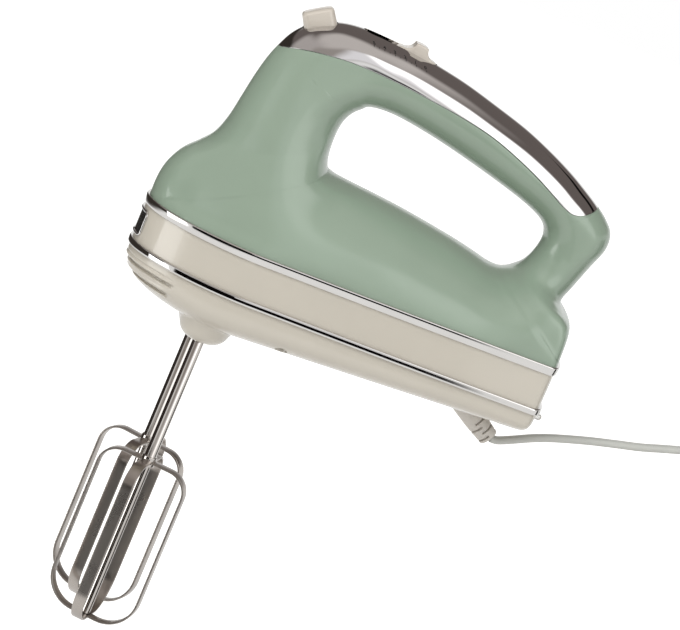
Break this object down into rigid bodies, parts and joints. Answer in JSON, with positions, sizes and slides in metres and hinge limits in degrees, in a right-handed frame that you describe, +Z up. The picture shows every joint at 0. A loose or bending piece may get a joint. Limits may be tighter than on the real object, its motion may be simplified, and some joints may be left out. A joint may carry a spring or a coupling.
{
  "type": "electric hand mixer",
  "caption": "Handheld electric mixer with a closed loop handle, two interleaving wire beaters, a speed slider, an eject button and a flat mains lead",
  "frame": {"origin": "centre of the hand grip in the plane of symmetry", "axes": "-X towards the nose over the beaters, +X towards the heel, +Z up, beaters point down"},
  "size_m": [0.3538, 0.0818, 0.3054],
  "materials": {
    "green_gloss": "glossy sage green",
    "chrome_cover": "mirror chrome plating",
    "chrome_trim": "mirror chrome plating",
    "cream_gloss": "glossy cream",
    "cream_button": "satin cream",
    "clear_stud": "clear soft plastic",
    "acetal": "natural acetal",
    "black_plastic": "moulded black",
    "spring_steel": "spring wire",
    "die_cast": "die cast",
    "bronze": "sintered bronze and brass",
    "lamination": "varnished laminations",
    "copper_wire": "enamelled copper",
    "copper_bar": "bare copper",
    "screw_steel": "ground steel",
    "carbon": "carbon",
    "beater_steel": "polished steel",
    "capacitor_case": "moulded case",
    "lead_sleeve": "insulated wire",
    "grey_rubber": "grey flexible plastic",
    "grey_cord": "grey sheath",
    "tie_black": "moulded tie",
    "pin_brass": "nickel-plated pins"
  },
  "bodies": {
    "frame": {"upper_housing": "green_gloss", "handle_top_cover": "chrome_cover", "upper_trim": "chrome_trim", "waist_band": "cream_gloss", "lower_trim": "chrome_trim", "bottom_cover": "cream_gloss", "nose_badge": "chrome_trim", "rear_bumpers": "clear_stud", "rod_guide": "black_plastic", "eject_spring": "spring_steel", "speed_switch": "black_plastic", "gear_frame": "die_cast", "front_motor_bush": "bronze", "rear_motor_bush": "bronze", "upper_spindle_bushes": "bronze", "lower_spindle_bushes": "bronze", "motor_stator": "lamination", "field_coils": "copper_wire", "motor_bracket": "die_cast", "motor_screws": "screw_steel", "frame_screws": "screw_steel", "case_screws": "screw_steel", "brush_holders": "bronze", "carbon_brushes": "carbon", "brush_springs": "spring_steel", "suppression_capacitor": "capacitor_case", "switch_leads": "lead_sleeve", "cord_clamp": "black_plastic", "clamp_screws": "screw_steel", "cord_boot": "grey_rubber", "mains_cord": "grey_cord", "cord_coil": "grey_cord", "cord_tie": "tie_black", "plug_lead": "grey_cord", "plug_body": "grey_rubber", "plug_pins": "pin_brass"},
    "armature": {"armature_shaft": "screw_steel", "armature_core": "lamination", "armature_windings": "copper_wire", "commutator": "copper_bar", "cooling_fan": "acetal", "worm": "screw_steel"},
    "drive_left": {"spindle_left": "screw_steel", "worm_wheel_left": "acetal"},
    "drive_right": {"spindle_right": "screw_steel", "worm_wheel_right": "acetal"},
    "beater_left": {"beater_left_shaft": "beater_steel", "beater_left_loops": "beater_steel"},
    "beater_right": {"beater_right_shaft": "beater_steel", "beater_right_loops": "beater_steel"},
    "slider": {"speed_slider": "cream_button"},
    "eject_button": {"eject_button": "cream_button"},
    "ejector": {"ejector_rod": "acetal"}
  },
  "joints": [
    {"name": "motor_spin", "type": "hinge", "parent": "frame", "child": "armature", "pos_m": [0, 0, -0.084], "axis": [1, 0, 0], "continuous": true},
    {"name": "drive_left_spin", "type": "hinge", "parent": "frame", "child": "drive_left", "pos_m": [-0.079, -0.016, -0.1], "axis": [0, 0, 1], "continuous": true},
    {"name": "drive_right_spin", "type": "hinge", "parent": "frame", "child": "drive_right", "pos_m": [-0.079, 0.016, -0.1], "axis": [0, 0, 1], "continuous": true},
    {"name": "beater_left_pull", "type": "slide", "parent": "drive_left", "child": "beater_left", "axis": [0, 0, -1], "range_m": [0, 0.04]},
    {"name": "beater_right_pull", "type": "slide", "parent": "drive_right", "child": "beater_right", "axis": [0, 0, -1], "range_m": [0, 0.04]},
    {"name": "speed_slide", "type": "slide", "parent": "frame", "child": "slider", "axis": [-0.9942, 0, 0.108], "range_m": [0, 0.015]},
    {"name": "eject_press", "type": "slide", "parent": "frame", "child": "eject_button", "axis": [0.5299, 0, -0.848], "range_m": [0, 0.005], "stiffness_N_per_m": 600},
    {"name": "ejector_drop", "type": "slide", "parent": "frame", "child": "ejector", "axis": [0, 0, -1], "range_m": [0, 0.00425], "deforming": ["eject_spring"]}
  ],
  "couplings": [
    {"joint": "drive_left_spin", "follows": "motor_spin", "ratio": 0.083333},
    {"joint": "drive_right_spin", "follows": "motor_spin", "ratio": -0.083333},
    {"joint": "ejector_drop", "follows": "eject_press", "ratio": 0.848}
  ]
}
